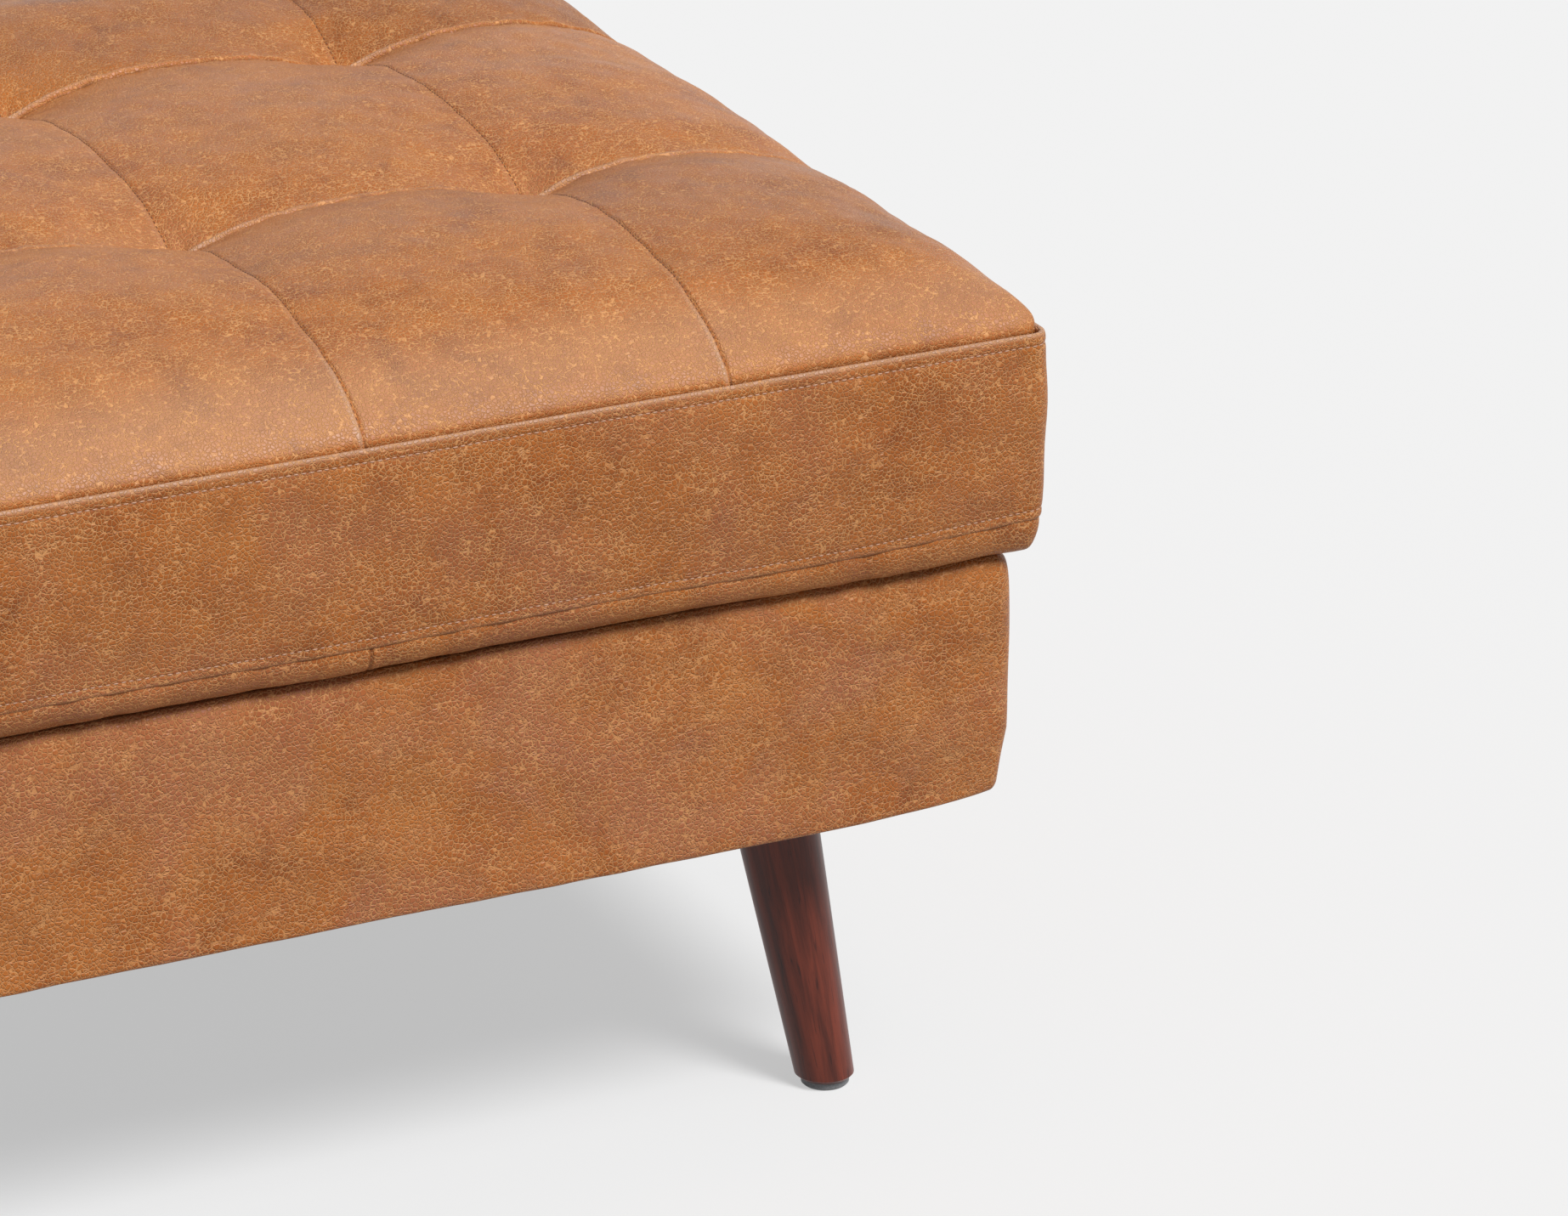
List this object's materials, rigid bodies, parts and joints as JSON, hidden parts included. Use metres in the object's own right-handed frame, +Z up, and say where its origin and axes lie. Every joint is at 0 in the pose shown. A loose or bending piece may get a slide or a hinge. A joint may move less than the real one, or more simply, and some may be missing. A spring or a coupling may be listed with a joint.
{
  "type": "upholstered ottoman",
  "caption": "Low rectangular leather ottoman: a tufted box cushion lifts off a padded leather-covered frame on splayed tapered wooden legs.",
  "frame": {"origin": "on the floor under the middle of the ottoman", "axes": "+X along the long side to the right seen from the front, +Y to the back, +Z up"},
  "size_m": [0.8926, 0.6896, 0.4592],
  "materials": {
    "tan_leather": "waxed pull-up, fine grain",
    "black_cloth": "non-woven",
    "deck_lining": "plain weave",
    "foam": "open cell foam",
    "fibre": "bonded polyester fibre",
    "twine": "waxed twine",
    "toggle_plastic": "moulded",
    "fastener_tape": "hook and loop",
    "frame_wood": "sawn hardwood",
    "stained_wood": "satin lacquer",
    "glide_plastic": "moulded",
    "zinc_steel": "zinc plated",
    "webbing": "elastic webbing"
  },
  "bodies": {
    "base": {"base_cover": "tan_leather", "deck_lining": "deck_lining", "deck_foam": "foam", "side_foam": "foam", "deck_cloth": "black_cloth", "front_rail": "frame_wood", "back_rail": "frame_wood", "left_rail": "frame_wood", "right_rail": "frame_wood", "stretcher": "frame_wood", "stretcher_dowels": "frame_wood", "rail_screws": "zinc_steel", "plate_screws": "zinc_steel", "corner_plate_front_left": "frame_wood", "corner_plate_front_right": "frame_wood", "corner_plate_back_left": "frame_wood", "corner_plate_back_right": "frame_wood", "leg_front_left": "stained_wood", "leg_front_right": "stained_wood", "leg_back_left": "stained_wood", "leg_back_right": "stained_wood", "glide_front_left": "glide_plastic", "glide_front_right": "glide_plastic", "glide_back_left": "glide_plastic", "glide_back_right": "glide_plastic", "glide_nails": "zinc_steel", "hanger_bolts": "zinc_steel", "tee_nuts": "zinc_steel", "dust_cover": "black_cloth", "dust_cover_staples": "zinc_steel", "across_strap_1": "webbing", "across_strap_2": "webbing", "across_strap_3": "webbing", "deep_strap_1": "webbing", "deep_strap_2": "webbing", "deep_strap_3": "webbing", "deep_strap_4": "webbing", "deep_strap_5": "webbing", "strap_staples": "zinc_steel", "loop_tapes": "fastener_tape"},
    "cushion": {"top_cover": "tan_leather", "side_band": "tan_leather", "lower_strip": "tan_leather", "bottom_cloth": "black_cloth", "foam_core": "foam", "fibre_wrap": "fibre", "tuft_ties": "twine", "tuft_toggles": "toggle_plastic", "hook_tapes": "fastener_tape"}
  },
  "joints": [
    {"name": "cushion_lift", "type": "slide", "parent": "base", "child": "cushion", "axis": [0, 0, 1], "range_m": [0, 0.2]}
  ]
}
